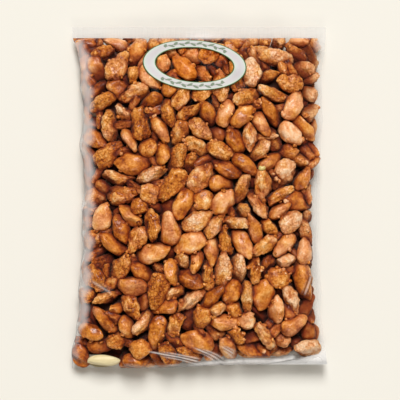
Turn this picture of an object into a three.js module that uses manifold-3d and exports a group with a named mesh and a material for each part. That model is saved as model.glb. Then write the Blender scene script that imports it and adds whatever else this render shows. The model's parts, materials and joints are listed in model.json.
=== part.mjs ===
// A clear film bag filled with candied almonds, lying on its back with the printed side up.
//
// The bag is a tube of clear film, sealed flat across the top as a header and folded under at the foot.
// Filling it draws its sides in at the waist, while the header and the foot keep the width of the flat film.
// The nuts are packed loosely: each takes room as a cluster of balls, and the clusters are eased apart
// until they rest on each other and on the film. Every nut that lies against the film in front or at a
// side is then joined to the body of the bag. An oval band is printed on the front, near the header.
//
// Millimetres. X runs across the bag, Y from foot to header and Z up from the table. The origin lies on
// the table, under the middle of the bag.

import * as THREE from "three";
import { mergeVertices } from "three/addons/utils/BufferGeometryUtils.js";
import Module from "manifold-3d";

// Driving dimensions of the bag.
const FILM_WIDTH = 203;
const FILM_LENGTH = 273;
const BAG_DEPTH = 40;
const LEFT_TUCK = 10.5; // how far filling draws each side in at the waist
const RIGHT_TUCK = 4.5;
const FOOT_SLANT = 8; // the right half of the foot is folded under this much further
const HEADER_HEIGHT = 8.5;
const HEADER_RISE = 9; // height of the header seal above the table
const HEADER_PLY = 1.2; // both films of the header together

// Driving dimensions of one candied almond, how many there are, and the room they leave at the rim.
const NUT_LENGTH = 25.5;
const NUT_WIDTH = 15.5;
const NUT_THICKNESS = 11;
const NUT_COUNT = 455;
const RIM_MARGIN = 1.5;

// Driving dimensions of the printed oval band and of the window inside it.
const BAND = { x: -3.5, y: 104.8, halfWidth: 41, halfHeight: 20.3, tilt: -0.08 };
const BAND_WINDOW = { halfWidth: 30.6, halfHeight: 13.8 };
const BAND_PLY = 0.6;
const BAND_GAP = 0.3; // clearance between the print and the bag under it

const FOOT_Y = -FILM_LENGTH / 2;
const TOP_Y = FILM_LENGTH / 2;
const SEAM_Y = TOP_Y - HEADER_HEIGHT;

// ---------------------------------------------------------------------------
// The shape of the filled bag
// ---------------------------------------------------------------------------

const SLANT_START = -45; // the foot's fold steps up between these two places
const SLANT_END = 38;
const TUCK_BELOW_SEAM = 27; // lengths over which the sides draw in, below the seam and above the foot
const TUCK_ABOVE_FOOT = 60;
const STRAIGHT_FOOT = 8; // the sides run straight for this length above the foot
const SEAM_TAPER = 14; // lengths over which the bag thickens, below the seam and above the foot
const FOOT_TAPER = 25;
const SEAM_FULLNESS = 0.7; // the lower this power, the blunter the end at the seam
const FOOT_DEPTH = 0.6; // share of the full depth that the blunt foot keeps
const FRONT_SHARE = 0.6; // share of the depth that lies above the widest line
const SIDE_POWER = 3; // how square the cross-section is towards the sides, the front and the back
const FRONT_POWER = 2.2;
const BACK_POWER = 5;
const END_POWER = 3; // how square the rounding is at the foot and at the seam
const FOOT_ROUND = 14;
const SEAM_ROUND = 6;
const TABLE_PRESS = 1.1; // how much lower the back would hang without the table

function smoothStep(value, start, end) {
  const t = Math.min(Math.max((value - start) / (end - start), 0), 1);
  return t * t * (3 - 2 * t);
}

function footEdge(x) {
  return FOOT_Y + FOOT_SLANT * smoothStep(x, SLANT_START, SLANT_END);
}

// 0 at the header and the foot, where the film keeps its flat width, and 1 at the waist.
function tuckAt(y) {
  const belowSeam = 1 - Math.exp(-Math.max(SEAM_Y - y, 0) / TUCK_BELOW_SEAM);
  const aboveFoot = 1 - Math.exp(-Math.max(y - FOOT_Y - STRAIGHT_FOOT, 0) / TUCK_ABOVE_FOOT);
  return belowSeam * aboveFoot;
}

function leftEdge(y) {
  return -FILM_WIDTH / 2 + LEFT_TUCK * tuckAt(y);
}

function rightEdge(y) {
  return FILM_WIDTH / 2 - RIGHT_TUCK * tuckAt(y);
}

// How deep the bag is along its middle, from the blunt foot to the thin end at the seam.
function depthAt(x, y) {
  const seamEnd = Math.pow(1 - Math.exp(-Math.max(SEAM_Y - y, 0) / SEAM_TAPER), SEAM_FULLNESS);
  const footEnd = 1 - (1 - FOOT_DEPTH) * Math.exp(-Math.max(y - footEdge(x), 0) / FOOT_TAPER);
  return BAG_DEPTH * seamEnd * footEnd;
}

// The height at which a cross-section is widest. It climbs to the header near the seam.
function edgeHeight(x, y) {
  const depth = depthAt(x, y);
  return (1 - FRONT_SHARE) * depth + HEADER_RISE * Math.pow(1 - depth / BAG_DEPTH, 2);
}

// 0 in the middle of the bag and 1 at its sides, its foot and its seam, less a margin all round.
function rimLevel(x, y, margin) {
  const left = leftEdge(y) + margin;
  const right = rightEdge(y) - margin;
  const side = Math.pow(Math.abs(2 * x - left - right) / (right - left), SIDE_POWER);
  const aboveFoot = y - footEdge(x) - margin;
  const belowSeam = SEAM_Y - y - margin;
  const foot = Math.pow(Math.max(1 - aboveFoot / FOOT_ROUND, 0), END_POWER);
  const seam = Math.pow(Math.max(1 - belowSeam / SEAM_ROUND, 0), END_POWER);
  return side + foot + seam;
}

// 1 on the skin that holds the nuts, less inside it and more outside.
function skinLevel(x, y, z) {
  const thickY = Math.min(y, SEAM_Y - SEAM_ROUND / 3);
  const depth = depthAt(x, thickY);
  const above = z - edgeHeight(x, thickY);
  const front = above > 0;
  const reach = (front ? FRONT_SHARE : 1 - FRONT_SHARE) * depth;
  const power = front ? FRONT_POWER : BACK_POWER;
  return rimLevel(x, y, RIM_MARGIN) + Math.pow(Math.abs(above) / reach, power);
}

// The film's height at x, y on the front, less an inset.
function frontHeight(x, y, inset) {
  const room = Math.max(1 - rimLevel(x, y, 0), 0);
  const reach = Math.max(FRONT_SHARE * depthAt(x, y) - inset, 0);
  return edgeHeight(x, y) + reach * Math.pow(room, 1 / FRONT_POWER);
}

// The same on the back. The film lies flat on the table where the bag is full.
function backHeight(x, y) {
  const room = Math.max(1 - rimLevel(x, y, 0), 0);
  const reach = (1 - FRONT_SHARE) * depthAt(x, y) * TABLE_PRESS;
  return Math.max(edgeHeight(x, y) - reach * Math.pow(room, 1 / BACK_POWER), 0);
}

// ---------------------------------------------------------------------------
// The nuts, packed into the bag
// ---------------------------------------------------------------------------

const SEED = 20241;
const SEED_FACTOR = 48271; // a multiplicative generator of random numbers
const SEED_MODULUS = 2147483647;
const START_LEVEL = 0.75; // no nut starts nearer to the skin than this level
const SMALLEST = 0.85; // nuts are this small to this much larger, and this slim to this broad
const SIZE_SPREAD = 0.3;
const SLIMMEST = 0.9;
const SLIM_SPREAD = 0.2;
const BROKEN_SHARE = 0.1; // share of broken pieces among the whole nuts, and their length and thickness
const BROKEN_LENGTH = 0.62;
const BROKEN_THICKNESS = 0.9;
const PITCH_SPREAD = 1.3; // radians: most nuts lie along the film

function randomSource(seed) {
  let state = seed;
  return () => {
    state = (state * SEED_FACTOR) % SEED_MODULUS;
    return state / SEED_MODULUS;
  };
}

function scatterNuts() {
  const random = randomSource(SEED);
  const nuts = [];
  while (nuts.length < NUT_COUNT) {
    const y = FOOT_Y + random() * (SEAM_Y - FOOT_Y);
    const x = (random() - 0.5) * FILM_WIDTH;
    const z = random() * BAG_DEPTH;
    if (skinLevel(x, y, z) > START_LEVEL) continue;
    const size = SMALLEST + SIZE_SPREAD * random();
    const slim = SLIMMEST + SLIM_SPREAD * random();
    const broken = random() < BROKEN_SHARE;
    const heading = 2 * Math.PI * random();
    const pitch = PITCH_SPREAD * (random() - 0.5);
    const roll = 2 * Math.PI * random();
    nuts.push({
      place: new THREE.Vector3(x, y, z),
      turn: new THREE.Quaternion().setFromEuler(new THREE.Euler(roll, pitch, heading, "ZYX")),
      length: NUT_LENGTH * size * (broken ? BROKEN_LENGTH : 1),
      width: NUT_WIDTH * size * slim,
      thickness: NUT_THICKNESS * Math.sqrt(size) * (broken ? BROKEN_THICKNESS : 1),
    });
  }
  return nuts;
}

// Balls that fill one nut, in its own frame: x, y and radius. Its length runs along x, from the blunt
// end to the pointed one.
function nutBalls(length, width, thickness) {
  const r = thickness / 2;
  const tip = 0.65 * r;
  const end = length / 2 - r;
  const side = Math.max(width / 2 - r, 0);
  return [
    { x: -end, y: 0, r },
    { x: length / 2 - tip, y: 0, r: tip },
    { x: 0.45 * end, y: 0.55 * side, r },
    { x: 0.45 * end, y: -0.55 * side, r },
    { x: -0.45 * end, y: side, r },
    { x: -0.45 * end, y: -side, r },
  ];
}

const STEPS = 200;
const GROWING_STEPS = 90; // the nuts start small, so that they can slide past each other
const START_SIZE = 0.6;
const SPREADING_STEPS = 120; // until then the nuts drift to the front and the back
const DRIFT = 0.15;
const EASE = 1.4; // how much of the mean push a nut gives way to in one step
const ROUNDNESS = 14; // a nut's inertia is its squared length and width over this
const MOST_PUSH = 4;
const MOST_TURN = 0.3;
const PROBE = 0.05;
const TINY = 1e-9;

function skinSlope(point) {
  const level = skinLevel(point.x, point.y, point.z);
  const slope = new THREE.Vector3(
    skinLevel(point.x + PROBE, point.y, point.z) - level,
    skinLevel(point.x, point.y + PROBE, point.z) - level,
    skinLevel(point.x, point.y, point.z + PROBE) - level,
  );
  return { level, slope: slope.divideScalar(PROBE) };
}

// How far a ball's outermost point lies past the skin, and the way back in.
function skinPush(centre, radius) {
  const outward = skinSlope(centre).slope.normalize();
  const { level, slope } = skinSlope(centre.clone().addScaledVector(outward, radius));
  const depth = Math.min((level - 1) / (slope.length() + TINY), MOST_PUSH);
  return { level, depth, inward: slope.normalize().negate() };
}

function press(nut, point, direction, amount) {
  nut.shift.addScaledVector(direction, amount);
  nut.twist.addScaledVector(point.clone().sub(nut.place).cross(direction), amount);
  nut.contacts += 1;
}

function pressPair(a, b, growth) {
  for (const ballA of a.balls) {
    for (const ballB of b.balls) {
      const room = (ballA.r + ballB.r) * growth;
      const apart = ballA.centre.clone().sub(ballB.centre);
      const distance = apart.length();
      if (distance < room) {
        const touch = ballA.centre.clone().add(ballB.centre).multiplyScalar(0.5);
        apart.divideScalar(distance + TINY);
        press(a, touch, apart, (room - distance) / 2);
        press(b, touch, apart, (distance - room) / 2);
      }
    }
  }
}

// Moves and turns a nut by the mean of the pushes on it.
function easeNut(nut) {
  if (nut.contacts === 0) return;
  const ease = EASE / Math.max(nut.contacts, 2);
  nut.place.addScaledVector(nut.shift, ease);
  const inertia = (nut.length * nut.length + nut.width * nut.width) / ROUNDNESS;
  const angle = (nut.twist.length() * ease) / inertia;
  if (angle > TINY) {
    const spin = new THREE.Quaternion();
    spin.setFromAxisAngle(nut.twist.normalize(), Math.min(angle, MOST_TURN));
    nut.turn.premultiply(spin).normalize();
  }
}

// Takes a nut's balls to where it lies, and clears the pushes on it.
function placeBalls(nut, growth) {
  nut.balls = nutBalls(nut.length, nut.width, nut.thickness);
  for (const ball of nut.balls) {
    ball.centre = new THREE.Vector3(ball.x, ball.y, 0).multiplyScalar(growth);
    ball.centre.applyQuaternion(nut.turn).add(nut.place);
  }
  nut.shift = new THREE.Vector3();
  nut.twist = new THREE.Vector3();
  nut.contacts = 0;
}

function packNuts() {
  const nuts = scatterNuts();
  for (let step = 0; step < STEPS; step += 1) {
    const growth = Math.min(START_SIZE + ((1 - START_SIZE) * step) / GROWING_STEPS, 1);
    for (const nut of nuts) placeBalls(nut, growth);
    for (let i = 0; i < nuts.length; i += 1) {
      for (let j = i + 1; j < nuts.length; j += 1) {
        const reach = ((nuts[i].length + nuts[j].length) / 2) * growth;
        if (nuts[i].place.distanceTo(nuts[j].place) < reach) pressPair(nuts[i], nuts[j], growth);
      }
    }
    for (const nut of nuts) {
      for (const ball of nut.balls) {
        const { depth, inward } = skinPush(ball.centre, ball.r * growth);
        if (depth > 0) press(nut, ball.centre, inward, depth);
      }
      easeNut(nut);
      if (step < SPREADING_STEPS) nut.place.z += nut.place.z > BAG_DEPTH / 2 ? DRIFT : -DRIFT;
    }
  }
  for (const nut of nuts) placeBalls(nut, 1);
  return nuts;
}

// ---------------------------------------------------------------------------
// Solids
// ---------------------------------------------------------------------------

const wasm = await Module();
wasm.setup();

const MERGE_DISTANCE = 1e-4;

function solidFrom(geometry) {
  const bare = geometry.clone();
  bare.deleteAttribute("normal");
  bare.deleteAttribute("uv");
  const merged = mergeVertices(bare, MERGE_DISTANCE);
  const vertProperties = new Float32Array(merged.attributes.position.array);
  const triVerts = new Uint32Array(merged.index.array);
  return new wasm.Manifold(new wasm.Mesh({ numProp: 3, vertProperties, triVerts }));
}

function meshFrom(name, solid, material) {
  const { vertProperties, triVerts } = solid.getMesh();
  const geometry = new THREE.BufferGeometry();
  geometry.setAttribute("position", new THREE.Float32BufferAttribute(vertProperties, 3));
  geometry.setIndex(Array.from(triVerts));
  geometry.computeVertexNormals();
  const mesh = new THREE.Mesh(geometry, material);
  mesh.name = name;
  return mesh;
}

function geometryFrom(points, quads) {
  const geometry = new THREE.BufferGeometry();
  geometry.setAttribute("position", new THREE.Float32BufferAttribute(points, 3));
  geometry.setIndex(quads.flatMap(([a, b, c, d]) => [a, b, c, a, c, d]));
  return geometry;
}

// A closed solid between two height fields over a grid of columns and rows.
function slabBetween(columns, rows, place, top, bottom) {
  const points = [];
  for (const height of [top, bottom]) {
    for (let j = 0; j <= rows; j += 1) {
      for (let i = 0; i <= columns; i += 1) {
        const [x, y] = place(i / columns, j / rows);
        points.push(x, y, height(x, y));
      }
    }
  }
  const stride = columns + 1;
  const under = stride * (rows + 1); // from a point of the top to the one below it
  const quads = [];
  const wall = (a, b) => quads.push([a, a + under, b + under, b]);
  for (let j = 0; j < rows; j += 1) {
    for (let i = 0; i < columns; i += 1) {
      const a = j * stride + i;
      const b = a + stride;
      quads.push([a, a + 1, b + 1, b], [under + a, under + b, under + b + 1, under + a + 1]);
    }
  }
  const last = rows * stride;
  for (let i = 0; i < columns; i += 1) {
    wall(i, i + 1);
    wall(last + i + 1, last + i);
  }
  for (let j = 0; j < rows; j += 1) {
    wall((j + 1) * stride, j * stride);
    wall(j * stride + columns, (j + 1) * stride + columns);
  }
  return geometryFrom(points, quads);
}

// The body of the bag: the full shape at the back and the foot, and inside the film in front and at the
// sides, where the nuts stand out of it.
const CORE_DROP = 7;
const CORE_TUCK = 7;
const TUCK_END = 12; // the sides come back out to the film over this length at the seam and the foot
const CORE_COLUMNS = 14;
const CORE_ROWS = 18; // the last one spans the header

function coreSolid() {
  const place = (u, v) => {
    const side = (1 + Math.sin((u - 0.5) * Math.PI)) / 2;
    const foot = footEdge((side - 0.5) * FILM_WIDTH);
    const along = (1 - Math.cos((Math.PI * v * CORE_ROWS) / (CORE_ROWS - 1))) / 2;
    const y = v < 1 ? foot + (SEAM_Y - foot) * along : TOP_Y;
    const belowSeam = 1 - smoothStep(y, SEAM_Y - TUCK_END, SEAM_Y);
    const tuck = CORE_TUCK * belowSeam * smoothStep(y, FOOT_Y, FOOT_Y + TUCK_END);
    const left = leftEdge(y) + tuck;
    const right = rightEdge(y) - tuck;
    return [left + (right - left) * side, y];
  };
  const top = (x, y) => Math.max(frontHeight(x, y, CORE_DROP), edgeHeight(x, y) + HEADER_PLY / 2);
  const bottom = (x, y) => Math.min(backHeight(x, y), edgeHeight(x, y) - HEADER_PLY / 2);
  return solidFrom(slabBetween(CORE_COLUMNS, CORE_ROWS, place, top, bottom));
}

// One nut with few sides. Its girth makes up for what the flat faces cut off, and shrinks to the tip.
const NUT_SIDES = 5;
const NUT_RINGS = 4;
const BLUNT_GIRTH = 1.16;
const TIP_TAPER = 0.3;

function nutSolid(nut) {
  const geometry = new THREE.SphereGeometry(1, NUT_SIDES, NUT_RINGS);
  geometry.rotateZ(-Math.PI / 2);
  const position = geometry.attributes.position;
  for (let i = 0; i < position.count; i += 1) {
    const along = position.getX(i);
    const girth = BLUNT_GIRTH - TIP_TAPER * Math.max(along, 0);
    position.setXYZ(
      i,
      (along * nut.length) / 2,
      (position.getY(i) * nut.width * girth) / 2,
      (position.getZ(i) * nut.thickness * girth) / 2,
    );
  }
  geometry.applyQuaternion(nut.turn);
  geometry.translate(nut.place.x, nut.place.y, nut.place.z);
  return solidFrom(geometry);
}

// Whether a nut lies against the front or a side of the film.
const NEAR_SKIN = 0.97;
const BELOW_EDGE = 3; // nuts lower than this under the widest line belong to the back

function showsInBag(nut) {
  if (nut.place.z < edgeHeight(nut.place.x, nut.place.y) - BELOW_EDGE) return false;
  return nut.balls.some((ball) => skinPush(ball.centre, ball.r).level > NEAR_SKIN);
}

// The printed oval band: a ring on the film, wider at its ends than at its top and bottom.
const BAND_STEPS = 36;

function ovalPoint(oval, angle) {
  const x = oval.halfWidth * Math.cos(angle);
  const y = oval.halfHeight * Math.sin(angle);
  return [
    BAND.x + x * Math.cos(BAND.tilt) - y * Math.sin(BAND.tilt),
    BAND.y + x * Math.sin(BAND.tilt) + y * Math.cos(BAND.tilt),
  ];
}

function ringSolid(bottom, top) {
  const points = [];
  const quads = [];
  for (let k = 0; k < BAND_STEPS; k += 1) {
    const angle = (2 * Math.PI * k) / BAND_STEPS;
    const outer = ovalPoint(BAND, angle);
    const inner = ovalPoint(BAND_WINDOW, angle);
    for (const [[x, y], height] of [[outer, top], [outer, bottom], [inner, bottom], [inner, top]]) {
      points.push(x, y, height(x, y));
    }
    const here = 4 * k;
    const next = 4 * ((k + 1) % BAND_STEPS);
    for (let side = 0; side < 4; side += 1) {
      const turned = (side + 1) % 4;
      quads.push([here + side, here + turned, next + turned, next + side]);
    }
  }
  return solidFrom(geometryFrom(points, quads));
}

// The filled bag. Under the band it reaches up to the film, and over the band it is kept clear.
function bagSolid(nuts) {
  const underBand = (x, y) => frontHeight(x, y, 0) - BAND_GAP;
  const aboveBag = (x, y) => frontHeight(x, y, 0) + BAG_DEPTH;
  let bag = coreSolid().add(ringSolid(edgeHeight, underBand));
  for (const nut of nuts.filter(showsInBag)) bag = bag.add(nutSolid(nut));
  const pieces = bag.subtract(ringSolid(underBand, aboveBag)).decompose();
  return pieces.reduce((largest, piece) => (piece.volume() > largest.volume() ? piece : largest));
}

function bandSolid() {
  return ringSolid(
    (x, y) => frontHeight(x, y, 0),
    (x, y) => frontHeight(x, y, 0) + BAND_PLY,
  );
}

const model = new THREE.Group();
const candied = new THREE.MeshStandardMaterial({ color: 0xa9642f, roughness: 0.4 });
const print = new THREE.MeshStandardMaterial({ color: 0xe6e6ea, roughness: 0.45 });
model.add(meshFrom("bag", bagSolid(packNuts()), candied));
model.add(meshFrom("oval_band", bandSolid(), print));

export default model;
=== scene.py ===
# A clear film bag of candied almonds, lying on its back on a pale table, seen from straight above.
import json
import math

import bpy
import numpy as np
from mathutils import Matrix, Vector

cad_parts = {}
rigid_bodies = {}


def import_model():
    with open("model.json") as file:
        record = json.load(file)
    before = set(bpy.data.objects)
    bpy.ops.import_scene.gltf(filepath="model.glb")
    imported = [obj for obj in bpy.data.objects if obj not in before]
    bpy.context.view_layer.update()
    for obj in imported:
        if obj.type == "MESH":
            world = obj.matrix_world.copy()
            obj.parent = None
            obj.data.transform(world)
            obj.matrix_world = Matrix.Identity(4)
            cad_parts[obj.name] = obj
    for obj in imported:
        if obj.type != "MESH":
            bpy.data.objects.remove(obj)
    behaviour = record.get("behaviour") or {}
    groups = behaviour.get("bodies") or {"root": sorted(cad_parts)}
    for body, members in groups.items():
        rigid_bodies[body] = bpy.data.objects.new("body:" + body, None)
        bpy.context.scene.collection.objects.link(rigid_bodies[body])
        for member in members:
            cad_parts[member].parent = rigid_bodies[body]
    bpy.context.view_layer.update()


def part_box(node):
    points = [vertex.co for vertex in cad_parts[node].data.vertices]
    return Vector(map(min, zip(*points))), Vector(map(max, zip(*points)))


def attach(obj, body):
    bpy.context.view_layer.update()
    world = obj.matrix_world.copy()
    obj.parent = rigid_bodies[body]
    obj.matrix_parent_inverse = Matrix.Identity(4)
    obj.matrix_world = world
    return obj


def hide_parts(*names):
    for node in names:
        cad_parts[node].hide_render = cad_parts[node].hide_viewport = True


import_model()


# ---------------------------------------------------------------------------------------------------
# The heap of almonds that fills the bag, a tube of clear film whose sides are drawn in at the waist.
# The nuts start small, grow as they slide past each other, and end up resting on each other and on
# the film. Each takes room as a cluster of balls. Lengths are in millimetres.
# ---------------------------------------------------------------------------------------------------
MM = 0.001
bag_low, bag_high = (np.array(corner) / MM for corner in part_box("bag"))
FILM_WIDTH, FILM_LENGTH = (bag_high - bag_low)[:2]
BAG_DEPTH = 40
FOOT_Y, TOP_Y = bag_low[1], bag_high[1]
HEADER_HEIGHT = 8.5
HEADER_RISE = 9
SEAM_Y = TOP_Y - HEADER_HEIGHT
LEFT_TUCK, RIGHT_TUCK = 10.5, 4.5
FOOT_SLANT, SLANT_START, SLANT_END = 8, -45, 38
TUCK_BELOW_SEAM, TUCK_ABOVE_FOOT, STRAIGHT_FOOT = 27, 60, 8
SEAM_TAPER, FOOT_TAPER, SEAM_FULLNESS, FOOT_DEPTH = 14, 25, 0.7, 0.6
FRONT_SHARE, SIDE_POWER, FRONT_POWER, BACK_POWER = 0.6, 3, 2.2, 5
FOOT_ROUND, SEAM_ROUND, END_POWER = 14, 6, 3
RIM_MARGIN = 1.5


def smooth_step(value, start, end):
    """0 before the start, 1 past the end, and a soft rise between them."""
    t = np.clip((value - start) / (end - start), 0, 1)
    return t * t * (3 - 2 * t)


def foot_edge(x):
    return FOOT_Y + FOOT_SLANT * smooth_step(x, SLANT_START, SLANT_END)


def tuck_at(y):
    below_seam = 1 - np.exp(-np.maximum(SEAM_Y - y, 0) / TUCK_BELOW_SEAM)
    above_foot = 1 - np.exp(-np.maximum(y - FOOT_Y - STRAIGHT_FOOT, 0) / TUCK_ABOVE_FOOT)
    return below_seam * above_foot


def left_edge(y):
    return -FILM_WIDTH / 2 + LEFT_TUCK * tuck_at(y)


def right_edge(y):
    return FILM_WIDTH / 2 - RIGHT_TUCK * tuck_at(y)


def depth_at(x, y):
    seam_end = (1 - np.exp(-np.maximum(SEAM_Y - y, 0) / SEAM_TAPER)) ** SEAM_FULLNESS
    foot_end = 1 - (1 - FOOT_DEPTH) * np.exp(-np.maximum(y - foot_edge(x), 0) / FOOT_TAPER)
    return BAG_DEPTH * seam_end * foot_end


def edge_height(x, y):
    """How high over the table the film's front and back meet at the rim."""
    depth = depth_at(x, y)
    return (1 - FRONT_SHARE) * depth + HEADER_RISE * (1 - depth / BAG_DEPTH) ** 2


def rim_level(x, y, margin):
    """0 in the middle of the bag, and 1 at its rim or a margin inside it."""
    left, right = left_edge(y) + margin, right_edge(y) - margin
    side = (np.abs(2 * x - left - right) / (right - left)) ** SIDE_POWER
    foot = np.maximum(1 - (y - foot_edge(x) - margin) / FOOT_ROUND, 0) ** END_POWER
    seam = np.maximum(1 - (SEAM_Y - y - margin) / SEAM_ROUND, 0) ** END_POWER
    return side + foot + seam


def front_height(x, y):
    room = np.maximum(1 - rim_level(x, y, 0), 0)
    return edge_height(x, y) + FRONT_SHARE * depth_at(x, y) * room ** (1 / FRONT_POWER)


NUT_SIZE = np.array([25.5, 15.5, 11])
NUT_COUNT = 455
SEED, SEED_FACTOR, SEED_MODULUS = 20241, 48271, 2147483647
START_LEVEL = 0.75
SMALLEST, SIZE_SPREAD, SLIMMEST, SLIM_SPREAD, PITCH_SPREAD = 0.85, 0.3, 0.9, 0.2, 1.3
BROKEN_SHARE, BROKEN_LENGTH, BROKEN_THICKNESS = 0.1, 0.62, 0.9
TIP_SHARE, BALL_ALONG, BALL_ASIDE = 0.65, 0.45, 0.55
STEPS, GROWING_STEPS, SPREADING_STEPS = 200, 90, 120
START_SIZE, DRIFT, EASE, ROUNDNESS, MOST_PUSH, MOST_TURN = 0.6, 0.15, 1.4, 14, 4, 0.3
PROBE, TINY = 0.05, 1e-9


def skin_level(point):
    """Below 1 inside the film, and above 1 outside it."""
    x, y, z = point[..., 0], point[..., 1], point[..., 2]
    thick_y = np.minimum(y, SEAM_Y - SEAM_ROUND / 3)
    depth = depth_at(x, thick_y)
    above = z - edge_height(x, thick_y)
    front = above > 0
    reach = np.where(front, FRONT_SHARE, 1 - FRONT_SHARE) * depth
    power = np.where(front, FRONT_POWER, BACK_POWER)
    return rim_level(x, y, RIM_MARGIN) + (np.abs(above) / reach) ** power


def skin_slope(point):
    level = skin_level(point)
    steps = [skin_level(point + PROBE * axis) - level for axis in np.eye(3)]
    return level, np.stack(steps, -1) / PROBE


def unit(vector):
    return vector / (np.linalg.norm(vector, axis=-1, keepdims=True) + TINY)


def skin_push(centre, radius):
    """How far each ball sticks out of the film, and which way is back in."""
    outward = unit(skin_slope(centre)[1])
    level, slope = skin_slope(centre + outward * radius[..., None])
    depth = np.minimum((level - 1) / (np.linalg.norm(slope, axis=-1) + TINY), MOST_PUSH)
    return depth, -unit(slope)


def turned(axis, angle):
    """Matrices that turn by angle about each axis."""
    x, y, z = np.moveaxis(axis, -1, 0)
    zero = np.zeros_like(x)
    cross = np.stack([zero, -z, y, z, zero, -x, -y, x, zero], -1).reshape(*x.shape, 3, 3)
    sin, cos = np.sin(angle)[..., None, None], np.cos(angle)[..., None, None]
    return np.eye(3) + sin * cross + (1 - cos) * (cross @ cross)


def scatter_nuts():
    """Draw each nut's place, turn and size. One in ten is broken."""
    state = SEED

    def random():
        nonlocal state
        state = state * SEED_FACTOR % SEED_MODULUS
        return state / SEED_MODULUS

    places, turns, sizes = [], [], []
    while len(places) < NUT_COUNT:
        y = FOOT_Y + random() * (SEAM_Y - FOOT_Y)
        x = (random() - 0.5) * FILM_WIDTH
        z = random() * BAG_DEPTH
        if skin_level(np.array([x, y, z])) > START_LEVEL:
            continue
        size = SMALLEST + SIZE_SPREAD * random()
        slim = SLIMMEST + SLIM_SPREAD * random()
        broken = random() < BROKEN_SHARE
        heading = 2 * math.pi * random()
        pitch = PITCH_SPREAD * (random() - 0.5)
        roll = 2 * math.pi * random()
        about = [turned(axis, np.array(angle)) for axis, angle in zip(np.eye(3), (roll, pitch, heading))]
        places.append((x, y, z))
        turns.append(about[2] @ about[1] @ about[0])
        length, width, thickness = NUT_SIZE
        sizes.append((
            length * size * (BROKEN_LENGTH if broken else 1),
            width * size * slim,
            thickness * math.sqrt(size) * (BROKEN_THICKNESS if broken else 1),
        ))
    return np.array(places), np.array(turns), np.array(sizes)


def nut_balls(size):
    """The six balls of each nut: their middles along its own axes, and their radii."""
    length, width, thickness = size.T
    r = thickness / 2
    tip, end, side = TIP_SHARE * r, length / 2 - r, np.maximum(width / 2 - r, 0)
    along, aside = BALL_ALONG * end, BALL_ASIDE * side
    x = [-end, length / 2 - tip, along, along, -along, -along]
    y = [0 * r, 0 * r, aside, -aside, side, -side]
    radius = [r, tip, r, r, r, r]
    return np.stack([x, y, 0 * np.array(x)], -1).transpose(1, 0, 2), np.array(radius).T


def pack_nuts():
    """Let the nuts grow and push each other and the film until they lie at rest."""
    place, turn, size = scatter_nuts()
    balls, radius = nut_balls(size)
    inertia = (size[:, 0] ** 2 + size[:, 1] ** 2) / ROUNDNESS
    reach = (size[:, None, 0] + size[None, :, 0]) / 2
    for step in range(STEPS):
        growth = min(START_SIZE + (1 - START_SIZE) * step / GROWING_STEPS, 1)
        centre = place[:, None] + growth * np.einsum("nij,nkj->nki", turn, balls)
        shift, twist, contacts = np.zeros_like(place), np.zeros_like(place), np.zeros(NUT_COUNT)

        def press(nut, point, direction, amount):
            push = direction * amount[:, None]
            np.add.at(shift, nut, push)
            np.add.at(twist, nut, np.cross(point - place[nut], push))
            np.add.at(contacts, nut, 1)

        near = np.linalg.norm(place[:, None] - place[None], axis=-1) < reach * growth
        a, b = np.nonzero(np.triu(near, 1))
        apart = centre[a][:, :, None] - centre[b][:, None]
        distance = np.linalg.norm(apart, axis=-1)
        room = growth * (radius[a][:, :, None] + radius[b][:, None])
        pair, m, n = np.nonzero(distance < room)
        a, b = a[pair], b[pair]
        distance, room = distance[pair, m, n], room[pair, m, n]
        direction = apart[pair, m, n] / (distance + TINY)[:, None]
        touch = (centre[a, m] + centre[b, n]) / 2
        press(a, touch, direction, (room - distance) / 2)
        press(b, touch, direction, (distance - room) / 2)

        depth, inward = skin_push(centre, radius * growth)
        nut, ball = np.nonzero(depth > 0)
        press(nut, centre[nut, ball], inward[nut, ball], depth[nut, ball])

        ease = np.where(contacts > 0, EASE / np.maximum(contacts, 2), 0)
        place = place + shift * ease[:, None]
        angle = np.minimum(np.linalg.norm(twist, axis=-1) * ease / inertia, MOST_TURN)
        turn = turned(unit(twist), angle) @ turn
        if step < SPREADING_STEPS:
            place[:, 2] += np.where(place[:, 2] > BAG_DEPTH / 2, DRIFT, -DRIFT)
    return place, turn, size


SLUMP_FOOT, SLUMP_TOP = (-112, -90), (0, 30)
RIGHT_GAP, UPPER_GAP, SLUMPED_GAP, UPPER_PART = 1.5, 1.5, 4.5, (-20, 60)


def slumped(y):
    """Where along the right side the nuts have slumped away from the film: 1 there, 0 elsewhere."""
    return smooth_step(y, *SLUMP_FOOT) * (1 - smooth_step(y, *SLUMP_TOP))


def right_gap(y):
    """How far the nuts stay clear of the film on the right."""
    return RIGHT_GAP + UPPER_GAP * smooth_step(y, *UPPER_PART) + SLUMPED_GAP * slumped(y)


UNEVENNESS, SEAM_SHIFT, MOST_SHIFT, LEAST_SHIFT, MOST_RIGHT_DRAW = 2.2, 6, 5, -1, -1.6
NEAR_SEAM, NEAR_FOOT, NEAR_LEFT, NEAR_RIGHT = (88, 120), (95, 118), (60, 84), (60, 86)


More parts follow.
